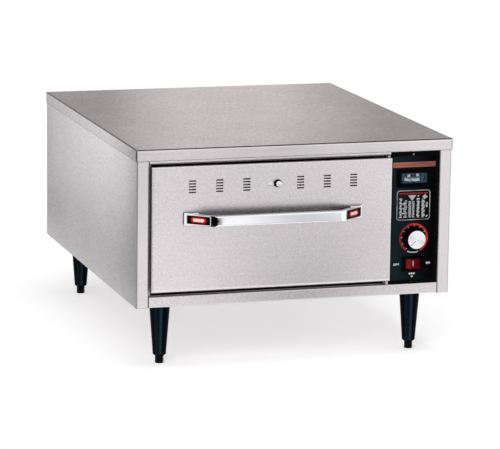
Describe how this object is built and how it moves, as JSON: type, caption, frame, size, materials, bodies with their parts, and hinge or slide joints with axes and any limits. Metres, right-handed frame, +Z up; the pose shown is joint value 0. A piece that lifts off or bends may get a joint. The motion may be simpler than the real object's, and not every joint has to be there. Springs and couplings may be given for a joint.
{
  "type": "countertop warming drawer",
  "caption": "Countertop warming drawer: stainless case on tapered legs, with a heated pan drawer on roller slides, vent slide, chrome handle and side control panel.",
  "frame": {"origin": "centre of the bounding box in X and Y, on the ground under the feet", "axes": "+Z up, the drawer opens towards -Y, +X to the right as seen from the front"},
  "size_m": [0.58, 0.741, 0.3894],
  "materials": {
    "stainless": "long fine brushing",
    "plain_sheet": "plain rolled sheet",
    "fibre": "matt fibre board",
    "black_paint": "satin black paint",
    "film": "printed film, satin",
    "black_plastic": "fine matt",
    "gloss_black": "smooth gloss",
    "chrome": "polished",
    "dial": "printed",
    "clear": "clear",
    "red": "translucent red",
    "element": "heat-darkened sheath",
    "copper": "bare",
    "nylon": "white"
  },
  "bodies": {
    "case": {"top_cover": "stainless", "left_side_panel": "stainless", "right_side_panel": "stainless", "back_panel": "plain_sheet", "bottom_panel": "stainless", "front_header": "stainless", "control_divider": "plain_sheet", "cavity_liner": "plain_sheet", "insulation_left": "fibre", "insulation_right": "fibre", "insulation_top": "fibre", "insulation_bottom": "fibre", "insulation_back": "fibre", "control_panel": "black_paint", "panel_film": "film", "panel_brackets": "plain_sheet", "panel_screws": "chrome", "back_screws": "plain_sheet", "thermometer_case": "black_plastic", "thermometer_bezel": "black_plastic", "thermometer_dial": "dial", "thermometer_lens": "clear", "thermostat_body": "plain_sheet", "thermostat_bulb": "copper", "switch_housing": "black_plastic", "terminal_block": "black_plastic", "cord_inlet": "black_plastic", "heating_element": "element", "element_brackets": "plain_sheet", "case_slides": "plain_sheet", "leg_set": "gloss_black", "leg_studs": "plain_sheet"},
    "drawer": {"drawer_slides": "plain_sheet", "drawer_front_skin": "stainless", "drawer_front_back": "plain_sheet", "front_insulation": "fibre", "drawer_side_left": "plain_sheet", "drawer_side_right": "plain_sheet", "drawer_cross_bars": "plain_sheet", "food_pan": "stainless", "slide_studs": "plain_sheet", "handle": "chrome", "handle_plates": "gloss_black", "handle_screws": "plain_sheet"},
    "vent": {"vent_slide": "plain_sheet", "vent_knob": "black_plastic"},
    "thermostat": {"thermostat_shaft": "plain_sheet", "thermostat_knob": "black_plastic", "knob_cap": "chrome"},
    "rocker": {"switch_rocker": "red"},
    "needle": {"thermometer_needle": "red"},
    "case_wheel_left": {"case_roller_left": "nylon"},
    "case_wheel_right": {"case_roller_right": "nylon"},
    "drawer_wheel_left": {"drawer_roller_left": "nylon"},
    "drawer_wheel_right": {"drawer_roller_right": "nylon"},
    "foot_fl": {"foot_front_left": "black_plastic"},
    "foot_fr": {"foot_front_right": "black_plastic"},
    "foot_rl": {"foot_rear_left": "black_plastic"},
    "foot_rr": {"foot_rear_right": "black_plastic"}
  },
  "joints": [
    {"name": "drawer_slide", "type": "slide", "parent": "case", "child": "drawer", "axis": [0, -1, 0], "range_m": [0, 0.48]},
    {"name": "vent_shift", "type": "slide", "parent": "drawer", "child": "vent", "axis": [-1, 0, 0], "range_m": [0, 0.015]},
    {"name": "thermostat_turn", "type": "hinge", "parent": "case", "child": "thermostat", "pos_m": [0.2207, -0.3377, 0.2119], "axis": [0, 1, 0], "range_deg": [0, 270]},
    {"name": "rocker_tilt", "type": "hinge", "parent": "case", "child": "rocker", "pos_m": [0.2207, -0.318, 0.1657], "axis": [0, 0, 1], "range_deg": [0, 18]},
    {"name": "needle_turn", "type": "hinge", "parent": "case", "child": "needle", "pos_m": [0.2192, -0.318, 0.3117], "axis": [0, 1, 0], "range_deg": [0, 100]},
    {"name": "case_roller_left_turn", "type": "hinge", "parent": "case", "child": "case_wheel_left", "pos_m": [-0.25655, -0.2965, 0.2508], "axis": [1, 0, 0], "range_deg": [0, 3930]},
    {"name": "case_roller_right_turn", "type": "hinge", "parent": "case", "child": "case_wheel_right", "pos_m": [0.16185, -0.2965, 0.2508], "axis": [1, 0, 0], "range_deg": [0, 3930]},
    {"name": "drawer_roller_left_turn", "type": "hinge", "parent": "drawer", "child": "drawer_wheel_left", "pos_m": [-0.25655, 0.2832, 0.2538], "axis": [1, 0, 0], "range_deg": [0, 2751]},
    {"name": "drawer_roller_right_turn", "type": "hinge", "parent": "drawer", "child": "drawer_wheel_right", "pos_m": [0.16185, 0.2832, 0.2538], "axis": [1, 0, 0], "range_deg": [0, 2751]},
    {"name": "foot_fl_screw", "type": "slide", "parent": "case", "child": "foot_fl", "axis": [0, 0, -1], "range_m": [0, 0.018]},
    {"name": "foot_fr_screw", "type": "slide", "parent": "case", "child": "foot_fr", "axis": [0, 0, -1], "range_m": [0, 0.018]},
    {"name": "foot_rl_screw", "type": "slide", "parent": "case", "child": "foot_rl", "axis": [0, 0, -1], "range_m": [0, 0.018]},
    {"name": "foot_rr_screw", "type": "slide", "parent": "case", "child": "foot_rr", "axis": [0, 0, -1], "range_m": [0, 0.018]}
  ],
  "couplings": [
    {"joint": "case_roller_left_turn", "follows": "drawer_slide", "rad_per_m": 142.86},
    {"joint": "case_roller_right_turn", "follows": "drawer_slide", "rad_per_m": 142.86},
    {"joint": "drawer_roller_left_turn", "follows": "drawer_slide", "rad_per_m": 100},
    {"joint": "drawer_roller_right_turn", "follows": "drawer_slide", "rad_per_m": 100}
  ]
}
